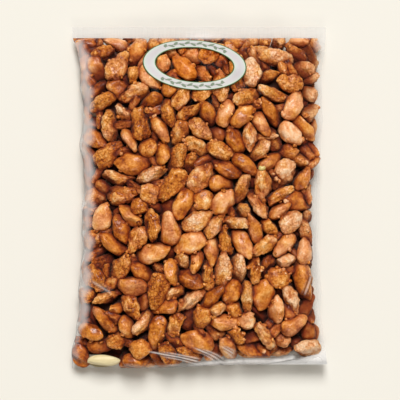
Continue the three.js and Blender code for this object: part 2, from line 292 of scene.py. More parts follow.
def spread_out(place, turn, size):
    """Push the nuts nearest the seam, the sides and the foot on, right up to the film."""
    x, y, z = place.T
    balls, radius = nut_balls(size)
    centre = place[:, None] + np.einsum("nij,nkj->nki", turn, balls)
    lowest = (centre[..., 1] - radius).min(1)
    leftmost = (centre[..., 0] - radius).min(1)
    rightmost = (centre[..., 0] + radius).max(1)
    uneven = np.random.default_rng(seed=4).uniform(0, UNEVENNESS, len(place))
    up = SEAM_SHIFT * smooth_step(y, *NEAR_SEAM)
    down = np.clip(lowest - foot_edge(x) - uneven / 2, LEAST_SHIFT, MOST_SHIFT)
    down = down * smooth_step(-y, *NEAR_FOOT)
    left = np.clip(leftmost - left_edge(y) - uneven / 2, LEAST_SHIFT, MOST_SHIFT)
    left = left * smooth_step(-x, *NEAR_LEFT)
    right = right_edge(y) - right_gap(y) - uneven - rightmost
    right = np.clip(right, MOST_RIGHT_DRAW * MOST_SHIFT, MOST_SHIFT)
    return np.stack([x - left + right * smooth_step(x, *NEAR_RIGHT), y + up - down, z], -1)


# A raster of the bag seen from above, with one cell for each square millimetre.
CELL = 1.0
RASTER_LOW, RASTER_HIGH = 2, 3
raster_x, raster_y = np.meshgrid(np.arange(-FILM_WIDTH / 2 - RASTER_LOW, FILM_WIDTH / 2 + RASTER_HIGH, CELL),
                                 np.arange(FOOT_Y - RASTER_LOW, TOP_Y + RASTER_HIGH, CELL))


def heap_tops(tops, place, turn, size):
    """Raise the raster of heap heights where these nuts lie."""
    balls, radius = nut_balls(size)
    centre = place[:, None] + np.einsum("nij,nkj->nki", turn, balls)
    for (x, y, z), r in zip(centre.reshape(-1, 3), radius.ravel()):
        rows = slice(max(int(y - r - raster_y[0, 0]), 0), int(y + r - raster_y[0, 0]) + 2)
        columns = slice(max(int(x - r - raster_x[0, 0]), 0), int(x + r - raster_x[0, 0]) + 2)
        room = r * r - (raster_x[rows, columns] - x) ** 2 - (raster_y[rows, columns] - y) ** 2
        high = np.where(room > 0, z + np.sqrt(np.maximum(room, 0)), 0)
        tops[rows, columns] = np.maximum(tops[rows, columns], high)


# One blanched almond has its own place at the foot, and the coated nuts there make room for it.
BARE_PLACE, BARE_SIZE = np.array([-75.7, -130.2, 16.5]), np.array([24, 10.5, 7.5])
BARE_ROLL = 40
BARE_TURN = turned(np.array([1.0, 0, 0]), np.array(math.radians(BARE_ROLL)))
BARE_CLEAR, BARE_NO_EXTRA = (21, 12, 14), (21, 13)
# Six nuts lie where the packing leaves room in the corners and beside it: their places and headings.
SET_NUTS = (
    ((-90.5, 121.5, 9.5), 0.5),
    ((-93, 103, 15), 1.2),
    ((-94.5, -125, 14), 1.9),
    ((-77, -117, 18), 0.2),
    ((-56, -127.5, 15), 1.2),
    ((-66, -122, 9), 0.6),
)
SET_SHARE = 0.9
HOLLOW_DEPTH, SHALLOW_SHARE, HOLLOW_WIDTH, FULL_WIDTH, MOST_EXTRA = 10, 0.6, 3, 6.5, 120
LEFT_SPARE, RIM_CLEAR, SEAM_SPARE = 1.5, 3, 2
EXTRA_SIZE, EXTRA_LENGTH, EXTRA_DEPTH, EXTRA_LEAN = (0.85, 1.05), (0.65, 1), (3, 7), (-0.35, 0.35)


def fill_hollows(place, turn, size):
    """Add nuts a little under the film wherever the front layer has left a wide hollow."""
    random = np.random.default_rng(seed=11)
    tops = np.zeros_like(raster_x)
    heap_tops(tops, place, turn, size)
    full = front_height(raster_x, raster_y)
    left_room = raster_x - left_edge(raster_y) + LEFT_SPARE
    right_room = right_edge(raster_y) - right_gap(raster_y) - raster_x
    inside = (np.minimum(left_room, right_room) > RIM_CLEAR) & (raster_y < SEAM_Y + SEAM_SPARE)
    inside &= raster_y > foot_edge(raster_x) + RIM_CLEAR
    beside_bare = np.abs(raster_x - BARE_PLACE[0]) < BARE_NO_EXTRA[0]
    inside &= ~(beside_bare & (raster_y < BARE_PLACE[1] + BARE_NO_EXTRA[1]))
    for _ in range(MOST_EXTRA):
        hollow = inside & (full - tops > np.minimum(HOLLOW_DEPTH, SHALLOW_SHARE * full))
        width = np.zeros_like(full)
        while hollow.any():
            width += hollow
            hollow = np.min([np.roll(hollow, way, axis) for way in (-1, 0, 1) for axis in (0, 1)], axis=0)
        row, column = np.unravel_index(width.argmax(), width.shape)
        if width[row, column] < HOLLOW_WIDTH:
            break
        x, y = raster_x[row, column], raster_y[row, column]
        fit = min(width[row, column] / FULL_WIDTH, 1)
        extent = NUT_SIZE * random.uniform(*EXTRA_SIZE) * (random.uniform(*EXTRA_LENGTH), fit, fit)
        z = max(full[row, column] - random.uniform(*EXTRA_DEPTH) - extent[2] / 2, extent[2] / 2 + 1)
        heading, lean = random.uniform(0, 2 * np.pi), random.uniform(*EXTRA_LEAN)
        about = turned(np.array([0, 0, 1.0]), np.array(heading))
        about = about @ turned(np.array([0, 1.0, 0]), np.array(lean))
        heap_tops(tops, np.array([[x, y, z]]), about[None], extent[None])
        place = np.append(place, [[x, y, z]], 0)
        turn = np.append(turn, about[None], 0)
        size = np.append(size, extent[None], 0)
    return place, turn, size


nut_place, nut_turn, nut_size = pack_nuts()
nut_place = spread_out(nut_place, nut_turn, nut_size)
kept = np.abs((nut_place - BARE_PLACE) / BARE_CLEAR).max(1) >= 1
bare_number = kept.sum()
set_place, set_heading = (np.array(column) for column in zip(*SET_NUTS))
set_turn = turned(np.array([[0, 0, 1.0]] * len(SET_NUTS)), set_heading)
set_size = [SET_SHARE * NUT_SIZE] * len(SET_NUTS)
nut_place = np.concatenate([nut_place[kept], BARE_PLACE[None], set_place])
nut_turn = np.concatenate([nut_turn[kept], BARE_TURN[None], set_turn])
nut_size = np.concatenate([nut_size[kept], BARE_SIZE[None], set_size])
nut_place, nut_turn, nut_size = fill_hollows(nut_place, nut_turn, nut_size)


# ---------------------------------------------------------------------------------------------------
# Blanks for the nuts. An almond is blunt at one end and pointed at the other. Cooking it in sugar
# leaves a coat with soft lumps, and where the sugar crystallised, a crust of pebbles. Nuts are cut
# from the blanks, laid in their places, and pressed flat where they meet the film.
# ---------------------------------------------------------------------------------------------------
BENCH_STEP = 70  # the blanks lie this far apart, so that no two have the same lumps
FULLNESS, TAPER = 1.04, -0.4
TIP_PART, POINT_REACH = 0.999, 9
BLANK_RANGE = (0.92, 1.1)
FACET_LEAN, FACET_DEPTH, BREAK_LEAN = (0.5, 1, 1.2), (0.72, 0.94), (1, 0.3, 0.25)
blank_number = 0
shape_random = np.random.default_rng(seed=3)


def coat_texture(name, kind, size):
    texture = bpy.data.textures.new(name, kind)
    texture.noise_scale = size
    return texture


coat_lumps = coat_texture("coat_lumps", "CLOUDS", size=6.5)
coat_knobs = coat_texture("coat_knobs", "CLOUDS", size=2.6)
coat_pebbles = coat_texture("coat_pebbles", "VORONOI", size=2.4)


def apply_modifier(piece, kind, **settings):
    bpy.ops.object.select_all(action="DESELECT")
    bpy.context.view_layer.objects.active = piece
    piece.select_set(True)
    bpy.ops.object.modifier_add(type=kind)
    modifier = piece.modifiers[-1]
    for key, value in settings.items():
        setattr(modifier, key, value)
    bpy.ops.object.modifier_apply(modifier=modifier.name)


def coordinates(mesh):
    flat = np.empty(len(mesh.vertices) * 3, np.float32)
    mesh.vertices.foreach_get("co", flat)
    return flat.reshape(-1, 3).astype(float)


def triangles(mesh):
    mesh.calc_loop_triangles()
    flat = np.empty(len(mesh.loop_triangles) * 3, np.int32)
    mesh.loop_triangles.foreach_get("vertices", flat)
    return flat.reshape(-1, 3)


def nut_blank(detail, lumps, knobs, pebbles, facets=6, point=2.6, cut=None):
    """Points of an almond at its usual size, its triangles, and how far its coat stands out."""
    global blank_number
    blank_number += 1
    bpy.ops.object.select_all(action="DESELECT")
    bench = (BENCH_STEP * blank_number, 0, 0)
    bpy.ops.mesh.primitive_ico_sphere_add(subdivisions=detail, radius=1, location=bench)
    blank = bpy.context.object
    bpy.ops.object.mode_set(mode="EDIT")
    bpy.ops.transform.resize(value=tuple(NUT_SIZE / 2 - (point / 2, 0, 0)))
    bpy.ops.object.mode_set(mode="OBJECT")
    for vertex in blank.data.vertices:
        vertex.select = vertex.co.x > TIP_PART * (NUT_SIZE[0] - point) / 2
    bpy.ops.object.mode_set(mode="EDIT")
    bpy.ops.transform.translate(value=(point, 0, 0), use_proportional_edit=True,
                                proportional_edit_falloff="SHARP", proportional_size=POINT_REACH)
    bpy.ops.object.mode_set(mode="OBJECT")
    apply_modifier(blank, "SIMPLE_DEFORM", deform_method="TAPER", factor=TAPER, deform_axis="X")
    shape_facets(blank.data, facets, cut)
    smooth = coordinates(blank.data)
    for texture, strength in ((coat_lumps, lumps), (coat_knobs, knobs), (coat_pebbles, -pebbles)):
        if strength:
            apply_modifier(blank, "DISPLACE", texture=texture, texture_coords="GLOBAL",
                           strength=strength, mid_level=0.5)
    rough = coordinates(blank.data)
    stands = np.einsum("ij,ij->i", rough - smooth, unit(smooth))
    faces = triangles(blank.data)
    bpy.data.objects.remove(blank)
    middle = (rough.max(0) + rough.min(0)) / 2
    size = NUT_SIZE * FULLNESS * shape_random.uniform(*BLANK_RANGE, 3)
    return (rough - middle) * size / np.ptp(rough, 0), faces, stands


def shape_facets(mesh, count, cut):
    """Press flat faces into a blank, and cut a broken one short."""
    points = coordinates(mesh)
    planes = [(unit(shape_random.normal(size=3) * FACET_LEAN), shape_random.uniform(*FACET_DEPTH))
              for _ in range(count)]
    if cut is not None:
        planes.append((unit(np.array(BREAK_LEAN)), cut))
    for direction, share in planes:
        height = points @ direction
        limit = height.max() * share
        points -= np.outer(np.maximum(height - limit, 0), direction)
    mesh.vertices.foreach_set("co", points.astype(np.float32).ravel())
    mesh.update()


TABLE_PRESS = 1.1
RIM_GAP, PROUD, PROUD_FADE, SEAM_LIGHT = 0.35, 3, (0.5, 0.9), 3
# Each wave along the film's sides has a height, a length and a start.
LEFT_WAVES, RIGHT_WAVES = ((0.8, 8.3, 0.4), (0.5, 3.7, 0)), ((0.7, 10.7, 2), (0.4, 4.3, 0))
LEFT_DENT, DENT_Y, DENT_REACH, SLUMP_DENT = 2.4, 46, 13, 2.2
LEFT_WAVE_REACH, RIGHT_WAVE_REACH, SEAM_STILL, FOOT_STILL = 9, 6, (2, 16), (0, 12)


def back_height(x, y):
    room = np.maximum(1 - rim_level(x, y, 0), 0)
    reach = (1 - FRONT_SHARE) * depth_at(x, y) * TABLE_PRESS
    return np.maximum(edge_height(x, y) - reach * room ** (1 / BACK_POWER), 0)


def waves(along, kinds):
    return sum(height * np.sin(along / length + start) for height, length, start in kinds)


def rim_wave(x, y):
    """How far the sides of the film wander from their plain form, fading out over the nuts."""
    ends = smooth_step(SEAM_Y - y, *SEAM_STILL) * smooth_step(y - FOOT_Y, *FOOT_STILL)
    left = waves(y, LEFT_WAVES) - LEFT_DENT * np.exp(-(((y - DENT_Y) / DENT_REACH) ** 2))
    right = waves(y, RIGHT_WAVES) - SLUMP_DENT * slumped(y)
    left = left * np.exp(-((x - left_edge(y)) / LEFT_WAVE_REACH) ** 2)
    right = right * np.exp(-((x - right_edge(y)) / RIGHT_WAVE_REACH) ** 2)
    return (left + right) * ends


def pressed_in(point):
    """Points that would stick out of the bag's rim, seam or back lie flat against the film."""
    x, y, z = point.T
    y = np.clip(y, foot_edge(x) + RIM_GAP, SEAM_Y - RIM_GAP)
    x = np.clip(x, left_edge(y) + RIM_GAP, right_edge(y) - RIM_GAP)
    level = rim_level(x, y, 0)
    highest = front_height(x, y) - RIM_GAP + PROUD * (1 - smooth_step(level, *PROUD_FADE))
    z = np.clip(z, back_height(x, y) + RIM_GAP, np.maximum(highest, back_height(x, y) + 2 * RIM_GAP))
    return np.stack([x + rim_wave(x, y), y, z], -1)


def depth_inside(point):
    """How far a point is from the nearest side of the bag, in millimetres."""
    x, y, z = point.T
    sides = np.minimum(x - left_edge(y), right_edge(y) - x)
    ends = np.minimum(y - foot_edge(x), SEAM_Y + SEAM_LIGHT - y)
    faces = np.minimum(front_height(x, y) - z, z - back_height(x, y))
    return np.minimum.reduce([sides, ends, faces])


OPEN_GAP, NUT_REACH = 4, 25
ball_place, ball_radius = nut_balls(nut_size)
ball_place = nut_place[:, None] + np.einsum("nij,nkj->nki", nut_turn, ball_place)


def gap_beside(point, number):
    """How far each point of a nut is from the other nuts, up to OPEN_GAP."""
    near = np.linalg.norm(nut_place - nut_place[number], axis=1) < NUT_REACH
    near[number] = False
    centre, radius = ball_place[near].reshape(-1, 3), ball_radius[near].ravel()
    gaps = np.linalg.norm(point[:, None] - centre, axis=-1) - radius
    return np.clip(gaps.min(1), 0, OPEN_GAP)


FIRST_TONE, TONE_STEP, GRAIN_STEP, GRAIN_PLACES = 0.3, 0.618034, 40.0, 23
TONE_ACROSS, TONE_ALONG, TONE_RIGHT, TONE_FOOT = 0.3, 0.12, 0.3, 0.2
PALE_RIGHT, DARK_LEFT, DARK_FOOT = (50, 85), (10, 80), (20, 110)


def painted_light_tone(x, y):
    """Painted light and shade across the heap: the coats are made paler towards the right, as if lit more
    there, and darker at the foot on the left, as if in shade.
    """
    paler = TONE_ACROSS * x / FILM_WIDTH + TONE_ALONG * y / FILM_LENGTH
    paler = paler + TONE_RIGHT * smooth_step(x, *PALE_RIGHT)
    return paler - TONE_FOOT * smooth_step(-x, *DARK_LEFT) * smooth_step(-y, *DARK_FOOT)


def joined_nuts(name, blanks, place, turn, size, numbers=None):
    """One mesh of many nuts, each cut from one of the blanks, laid in its place and turned."""
    points, faces, grain, crust, tone, deep, gap = [], [], [], [], [], [], []
    count = 0
    for order, (middle, about, extent) in enumerate(zip(place, turn, size)):
        rough, corners, stands = blanks[order % len(blanks)]
        local = rough * extent / NUT_SIZE
        laid = pressed_in(local @ about.T + middle)
        # Each nut's tone is random, with the painted light and shade across the heap added to it.
        tone_and_painted_light = (FIRST_TONE + order * TONE_STEP) % 1 + painted_light_tone(middle[0], middle[1])
        # The gap to the other nuts, and the depth in the bag below, carry painted shade into the coat.
        gap.append(np.full(len(laid), OPEN_GAP) if numbers is None else gap_beside(laid, numbers[order]))
        points.append(laid * MM)
        faces.append(corners + count)
        grain.append(local + GRAIN_STEP * (order % GRAIN_PLACES))
        crust.append(stands)
        tone.append(np.full(len(local), tone_and_painted_light))
        deep.append(depth_inside(laid))
        count += len(local)
    mesh = bpy.data.meshes.new(name)
    points, faces = np.concatenate(points), np.concatenate(faces)
    mesh.vertices.add(len(points))
    mesh.vertices.foreach_set("co", points.astype(np.float32).ravel())
    mesh.loops.add(faces.size)
    mesh.loops.foreach_set("vertex_index", faces.astype(np.int32).ravel())
    mesh.polygons.add(len(faces))
    mesh.polygons.foreach_set("loop_start", np.arange(0, faces.size, 3, dtype=np.int32))
    mesh.polygons.foreach_set("use_smooth", np.ones(len(faces), bool))
    mesh.update()
    for label, kind, values in (("grain", "FLOAT_VECTOR", grain), ("crust", "FLOAT", crust),
                                ("tone", "FLOAT", tone), ("deep", "FLOAT", deep), ("gap", "FLOAT", gap)):
        attribute = mesh.attributes.new(label, kind, "POINT")
        field = "vector" if kind == "FLOAT_VECTOR" else "value"
        attribute.data.foreach_set(field, np.concatenate(values).astype(np.float32).ravel())
    piece = bpy.data.objects.new(name, mesh)
    bpy.context.collection.objects.link(piece)
    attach(piece, "root")
    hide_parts("bag")
    return piece


# ---------------------------------------------------------------------------------------------------
# The coat's finish, shared by all the nuts: caramel that is dark where it is thin or scorched and pale
# where the sugar crystallised, with patches of a redder skin, and painted shade deep in the bag and where
# the nuts touch. Its group gives a colour, a roughness, a height, and how much clear glaze lies on top.
# ---------------------------------------------------------------------------------------------------
def srgb(red, green, blue):
    """A colour as seen, 0 to 255, as the linear colour that a shader takes."""
    parts = []
    for value in (red, green, blue):
        c = value / 255
        parts.append(c / 12.92 if c <= 0.04045 else ((c + 0.055) / 1.055) ** 2.4)
    return (*parts, 1)


def add_node(tree, kind, inputs=None, **settings):
    """A node with some of its settings, and its sockets set or linked by name or number."""
    node = tree.nodes.new("ShaderNode" + kind)
    for key, value in settings.items():
        setattr(node, key, value)
    for key, value in (inputs or {}).items():
        if isinstance(value, bpy.types.NodeSocket):
            tree.links.new(value, node.inputs[key])
        else:
            node.inputs[key].default_value = value
    return node


def add_math(tree, operation, a, b=0.0, clamp=False):
    return add_node(tree, "Math", {0: a, 1: b}, operation=operation, use_clamp=clamp).outputs[0]


def add_mix(tree, factor, a, b, blend="MIX"):
    """Colour a with colour b over it by the factor."""
    return add_node(tree, "Mix", {0: factor, 6: a, 7: b}, data_type="RGBA", blend_type=blend).outputs[2]


def add_ramp(tree, value, *stops):
    """A colour ramp with its stops as pairs of place and colour."""
    node = add_node(tree, "ValToRGB", {"Fac": value})
    elements = node.color_ramp.elements
    while len(elements) < len(stops):
        elements.new(0.5)
    for element, (place, colour) in zip(elements, stops):
        element.position = place
        element.color = colour
    return node.outputs["Color"]


def add_noise(tree, where, scale, detail=2.0, roughness=0.5):
    return add_node(tree, "TexNoise", {"Vector": where, "Scale": scale, "Detail": detail,
                                       "Roughness": roughness}).outputs["Fac"]


coat = bpy.data.node_groups.new("candy_coat", "ShaderNodeTree")
for label in ("Grain", "Crust", "Tone", "Shade", "Speckle", "Deep", "Gap", "Gloss"):
    kind = "NodeSocketVector" if label == "Grain" else "NodeSocketFloat"
    coat.interface.new_socket(label, in_out="INPUT", socket_type=kind)
for label in ("Color", "Roughness", "Height", "Coat"):
    kind = "NodeSocketColor" if label == "Color" else "NodeSocketFloat"
    coat.interface.new_socket(label, in_out="OUTPUT", socket_type=kind)
given = coat.nodes.new("NodeGroupInput").outputs


def add_share(value, part, middle, share):
    """value + (part - middle) * share"""
    off = add_math(coat, "MULTIPLY", add_math(coat, "SUBTRACT", part, middle), share)
    return add_math(coat, "ADD", value, off)


# Blotches, mottle, flecks, cracks, pebbles of sugar, the lumps' height and the nut's own tone together
# say how pale the coat is at a place. The tone also carries the painted light and shade across the heap.
CRACK_WIDTH, CRACK_WANDER = 0.13, (2.4, 2.4, 2.4)
blotch = add_noise(coat, given["Grain"], scale=0.13)
mottle = add_noise(coat, given["Grain"], scale=0.55, detail=4.0, roughness=0.65)
fleck = add_noise(coat, given["Grain"], scale=1.0, roughness=0.6)
wander = add_node(coat, "TexNoise", {"Vector": given["Grain"], "Scale": 0.5, "Detail": 2.0}).outputs["Color"]
crazed = add_node(coat, "VectorMath", {0: wander, 1: CRACK_WANDER, 2: given["Grain"]},
                  operation="MULTIPLY_ADD")
crack = add_node(coat, "TexVoronoi", {"Vector": crazed.outputs[0], "Scale": 0.33}, feature="DISTANCE_TO_EDGE")
crack = add_math(coat, "DIVIDE", crack.outputs["Distance"], CRACK_WIDTH)
crack = add_math(coat, "SUBTRACT", 1.0, crack, clamp=True)
crack = add_math(coat, "MULTIPLY", crack, given["Speckle"])
pebble = add_node(coat, "TexVoronoi", {"Vector": given["Grain"], "Scale": 0.6}, feature="F1")
pebble = pebble.outputs["Distance"]
value = add_share(given["Shade"], blotch, middle=0.5, share=0.95)
value = add_share(value, pebble, middle=0.45, share=add_math(coat, "MULTIPLY", given["Speckle"], -0.3))
value = add_share(value, mottle, middle=0.5, share=0.65)
value = add_share(value, fleck, middle=0.5, share=add_math(coat, "MULTIPLY", given["Speckle"], 0.6))
value = add_share(value, crack, middle=0.0, share=-0.2)
value = add_share(value, given["Crust"], middle=0.0, share=0.2)
value = add_share(value, given["Tone"], middle=0.5, share=0.36)
caramel = add_ramp(coat, value, (0.0, srgb(92, 26, 1)), (0.25, srgb(164, 78, 10)), (0.5, srgb(219, 133, 42)),
                   (0.75, srgb(244, 174, 94)), (1.0, srgb(253, 214, 162)))
skin = add_ramp(coat, value, (0.0, srgb(84, 28, 12)), (0.25, srgb(146, 72, 40)), (0.5, srgb(204, 121, 70)),
                (0.75, srgb(240, 168, 115)), (1.0, srgb(253, 209, 168)))

# The redder skin shows in large patches, and more on the paler nuts.
PATCH_SHIFT, PATCH_TONE = (90, 40, 10), 0.3
patch = add_node(coat, "VectorMath", {0: given["Grain"], 1: PATCH_SHIFT}).outputs[0]
patch = add_noise(coat, patch, scale=0.1)
patch = add_math(coat, "ADD", patch, add_math(coat, "MULTIPLY", given["Tone"], PATCH_TONE))
patch = add_ramp(coat, patch, (0.62, (0, 0, 0, 1)), (0.82, (0.85, 0.85, 0.85, 1)))
hue = add_mix(coat, patch, caramel, skin)

# Painted shade: deep in the bag and where the nuts touch, the coat is made darker and redder, standing in for
# the shade that falls there.
DARK_DEPTH = 20.0
sunk = add_math(coat, "DIVIDE", given["Deep"], DARK_DEPTH)
light = add_ramp(coat, sunk, (0.05, (1, 1, 1, 1)), (0.18, (0.8, 0.63, 0.45, 1)),
                 (0.36, (0.27, 0.09, 0.02, 1)), (0.56, (0.06, 0.007, 0.001, 1)))
open_share = add_math(coat, "DIVIDE", given["Gap"], OPEN_GAP)
gap_shade = add_ramp(coat, open_share, (0.0, (0.2, 0.045, 0.008, 1)), (0.3, (0.66, 0.42, 0.22, 1)),
                   (0.8, (1, 1, 1, 1)))
shaded = add_mix(coat, 1, hue, add_mix(coat, 1, light, gap_shade, "MULTIPLY"), "MULTIPLY")

# Deep in the bag the coat is also made duller and less glazed, so that the painted shade there holds no
# highlights.
DULL_LEAST, DULL_MOTTLE, GLAZE_FADE, FLECK_HEIGHT, CRACK_DEPTH = 0.13, 0.55, 2.5, 0.6, 0.7
dull = add_math(coat, "ADD", add_math(coat, "MULTIPLY", mottle, DULL_MOTTLE), DULL_LEAST)
dull = add_math(coat, "ADD", dull, sunk, clamp=True)
glaze = add_math(coat, "SUBTRACT", 1.0, add_math(coat, "MULTIPLY", sunk, GLAZE_FADE), clamp=True)
height = add_math(coat, "ADD", mottle, add_math(coat, "MULTIPLY", fleck, FLECK_HEIGHT))
height = add_math(coat, "SUBTRACT", height, add_math(coat, "MULTIPLY", pebble, given["Speckle"]))
height = add_math(coat, "SUBTRACT", height, add_math(coat, "MULTIPLY", crack, CRACK_DEPTH))
result = coat.nodes.new("NodeGroupOutput").inputs
coat.links.new(shaded, result["Color"])
coat.links.new(dull, result["Roughness"])
coat.links.new(height, result["Height"])
coat.links.new(add_math(coat, "MULTIPLY", glaze, given["Gloss"]), result["Coat"])


def new_finish(name):
    """A material and its node tree, still empty."""
    material = bpy.data.materials.new(name)
    material.use_nodes = True
    material.node_tree.nodes.clear()
    return material, material.node_tree


def coat_material(name, shade, speckle, bump, gloss):
    material, tree = new_finish(name)
    finish = tree.nodes.new("ShaderNodeGroup")
    finish.node_tree = coat
    grain = add_node(tree, "Attribute", attribute_name="grain")
    tree.links.new(grain.outputs["Vector"], finish.inputs["Grain"])
    for label in ("Crust", "Tone", "Deep", "Gap"):
        value = add_node(tree, "Attribute", attribute_name=label.lower())
        tree.links.new(value.outputs["Fac"], finish.inputs[label])
    finish.inputs["Shade"].default_value = shade
    finish.inputs["Speckle"].default_value = speckle
    finish.inputs["Gloss"].default_value = gloss
    relief = add_node(tree, "Bump", {"Height": finish.outputs["Height"], "Strength": 0.8, "Distance": bump})
    skin = add_node(tree, "BsdfPrincipled", {
        "Base Color": finish.outputs["Color"], "Roughness": finish.outputs["Roughness"],
        "Normal": relief.outputs["Normal"], "Coat Weight": finish.outputs["Coat"], "Coat Roughness": 0.18,
        "Sheen Weight": 0.1, "Sheen Roughness": 0.35, "Sheen Tint": (1, 0.78, 0.56, 1),
        "Specular IOR Level": 0.38, "Specular Tint": (1, 0.88, 0.74, 1),
    })
    add_node(tree, "OutputMaterial", {"Surface": skin.outputs[0]})
    return material


# ---------------------------------------------------------------------------------------------------
# The coated nuts. Some are glazed smooth, more have a crust of crystallised sugar, some show their dark
# skin, and others are broken or small. Each kind is one joined mesh of nuts cut from its own blanks.
# ---------------------------------------------------------------------------------------------------
SHORT_SHARE = 0.75  # a nut shorter than this share of a whole one is a piece
KIND_ENDS = (0.27, 0.54, 0.80)
NUT_DETAIL = 4
picks = np.random.default_rng(seed=7).permutation(len(nut_place))
short = nut_size[:, 0] < SHORT_SHARE * NUT_SIZE[0]
broken = [k for k in picks if short[k]]
whole = [k for k in picks if not short[k] and k != bare_number]
ends = [round(len(whole) * share) for share in KIND_ENDS]
glazed, crusted, knobbly, skinned = np.split(np.array(whole), ends)

# For each kind: its nuts, how many blanks it has, the strength of their lumps, knobs and pebbles, their
# flat faces, where a broken one is cut, and its coat's shade, speckle, bump and gloss.
for name, chosen, count, relief, facets, cut, look in (
    ("nuts_glazed", glazed, 8, (2.4, 0.8, 0.3), 6, None, (0.58, 0.3, 0.0006, 0.4)),
    ("nuts_crusted", crusted, 10, (3.0, 1.5, 0.9), 6, None, (0.67, 0.8, 0.0010, 0.2)),
    ("nuts_knobbly", knobbly, 9, (4.4, 2.4, 0.7), 6, None, (0.62, 0.65, 0.0009, 0.3)),
    ("nuts_skinned", skinned, 6, (1.8, 0.6, 0.3), 6, None, (0.47, 0.35, 0.0007, 0.3)),
    ("nut_pieces", broken, 6, (2.6, 1.4, 0.7), 8, 0.6, (0.64, 0.6, 0.0008, 0.25)),
):
    blanks = [nut_blank(NUT_DETAIL, *relief, facets=facets, cut=cut) for _ in range(count)]
    piece = joined_nuts(name, blanks, nut_place[chosen], nut_turn[chosen], nut_size[chosen], chosen)
    piece.data.materials.append(coat_material(name + "_coat", *look))


# ---------------------------------------------------------------------------------------------------
# Sugar crumbs and chips of nut. They break off as the nuts are stirred and packed, and lie stuck to
# the nuts and in the gaps between them, near the film.
# ---------------------------------------------------------------------------------------------------
CRUMB_COUNT, CRUMB_LEAST, CRUMB_DEPTH = 420, 1, 6.5
CRUMB_SHARE, CRUMB_LENGTH = (0.09, 0.2), (14, 26)
crumb_random = np.random.default_rng(seed=5)
nut_points = [coordinates(item.data) / MM for item in bpy.data.objects if item.name.startswith("nut")]
surface = np.concatenate(nut_points)
depth = depth_inside(surface)
facing = front_height(surface[:, 0], surface[:, 1]) - surface[:, 2]
surface = surface[(depth > CRUMB_LEAST) & (depth < CRUMB_DEPTH) & (facing < CRUMB_DEPTH)]
crumb_place = surface[crumb_random.choice(len(surface), CRUMB_COUNT, replace=False)]
crumb_axis = unit(crumb_random.normal(size=(CRUMB_COUNT, 3)))
crumb_turn = turned(crumb_axis, crumb_random.uniform(0, np.pi, CRUMB_COUNT))
crumb_size = crumb_random.uniform(*CRUMB_SHARE, (CRUMB_COUNT, 1))
crumb_size = crumb_size * crumb_random.uniform(*CRUMB_LENGTH, (CRUMB_COUNT, 3))
crumb_blanks = [nut_blank(detail=2, lumps=5.0, knobs=3.0, pebbles=1.0, facets=9) for _ in range(5)]
crumbs = joined_nuts("sugar_crumbs", crumb_blanks, crumb_place, crumb_turn, crumb_size)
crumbs.data.materials.append(coat_material("crumb_coat", shade=0.56, speckle=0.8, bump=0.0004, gloss=0.3))


# ---------------------------------------------------------------------------------------------------
# One blanched almond, at the foot of the bag on the left. It has no skin and no coat: pale, smooth
# flesh with fine fibres along it.
# ---------------------------------------------------------------------------------------------------
bare_blank = nut_blank(detail=5, lumps=0.5, knobs=0.2, pebbles=0.0, facets=0, point=1.2)
bare = joined_nuts("blanched_almond", [bare_blank], BARE_PLACE[None], BARE_TURN[None], BARE_SIZE[None])
bone, tree = new_finish("blanched")
where = add_node(tree, "TexCoord").outputs["Object"]
streaks = add_node(tree, "Mapping", {"Vector": where, "Scale": (60, 500, 500)}).outputs[0]
fibre = add_noise(tree, streaks, scale=1.0, detail=3.0, roughness=0.6)
cream_tone = add_ramp(tree, fibre, (0.3, srgb(220, 200, 146)), (0.7, srgb(240, 226, 182)))
fibre_relief = add_node(tree, "Bump", {"Height": fibre, "Strength": 0.4, "Distance": 0.0003})
flesh = add_node(tree, "BsdfPrincipled", {"Base Color": cream_tone, "Roughness": 0.5,
                                          "Normal": fibre_relief.outputs["Normal"]})
add_node(tree, "OutputMaterial", {"Surface": flesh.outputs[0]})
bare.data.materials.append(bone)


# ---------------------------------------------------------------------------------------------------
# One small yellow-green chip of another nut. It is stuck by the sugar to the top of the heap, on the
# right under the film.
# ---------------------------------------------------------------------------------------------------
CHIP_SPOT, CHIP_SIZE, CHIP_SEARCH = (51.2, 22.9), np.array([5.4, 4.4, 3.6]), 2
chip_blank = nut_blank(detail=3, lumps=4.0, knobs=2.0, pebbles=0.5, facets=9)
under_chip = surface[np.hypot(*(surface[:, :2] - CHIP_SPOT).T) < CHIP_SEARCH]
chip_place = under_chip[under_chip[:, 2].argmax()]
chip = joined_nuts("green_chip", [chip_blank], chip_place[None], np.eye(3)[None], CHIP_SIZE[None])
pith, tree = new_finish("green_chip")
chip_mottle = add_noise(tree, add_node(tree, "TexCoord").outputs["Object"], scale=900.0)
pith_tone = add_ramp(tree, chip_mottle, (0.3, srgb(196, 172, 84)), (0.7, srgb(228, 208, 140)))
pith_skin = add_node(tree, "BsdfPrincipled", {"Base Color": pith_tone, "Roughness": 0.45})
add_node(tree, "OutputMaterial", {"Surface": pith_skin.outputs[0]})
chip.data.materials.append(pith)


# ---------------------------------------------------------------------------------------------------
# The nuts deep inside, as one closed, dark and lumpy heap that is seen only down the gaps between the
# others. Its dark colour is painted shade, for the deep nuts that little light reaches. Its top follows the
# front of the bag, and its underside the back.
# ---------------------------------------------------------------------------------------------------
CORE_COLUMNS, CORE_ROWS = 70, 90
CORE_TUCK, CORE_DEPTH, CORE_ABOVE_BACK, CORE_LEAST, CORE_DOWN = 12, 15, 5, 0.5, 1
WELD_GAP = 0.00001


def grid_faces(rows, columns, first=0, flip=False):
    index = first + np.arange(rows * columns).reshape(rows, columns)
    corners = [index[:-1, :-1], index[:-1, 1:], index[1:, 1:], index[1:, :-1]]
    return np.stack(corners[::-1] if flip else corners, -1).reshape(-1, 4)


